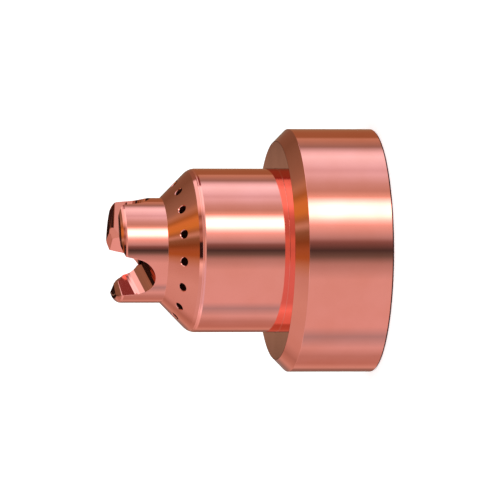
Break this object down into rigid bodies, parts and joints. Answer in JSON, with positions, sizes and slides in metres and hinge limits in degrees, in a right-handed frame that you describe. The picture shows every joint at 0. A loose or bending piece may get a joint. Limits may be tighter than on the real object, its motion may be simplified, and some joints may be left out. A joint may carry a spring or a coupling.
{
  "type": "plasma torch drag shield",
  "caption": "Round copper shield cap for a plasma torch, with a threaded skirt, a vented cone and a notched tip that rests on the work.",
  "frame": {"origin": "centre of the rear rim, in the plane the shield stands on", "axes": "+Z along the axis, from the threaded skirt to the tip; +X through the middle of one notch"},
  "size_m": [0.026, 0.026, 0.028],
  "materials": {
    "copper": "bright turned copper"
  },
  "bodies": {
    "root": {"drag_shield": "copper"}
  },
  "joints": []
}
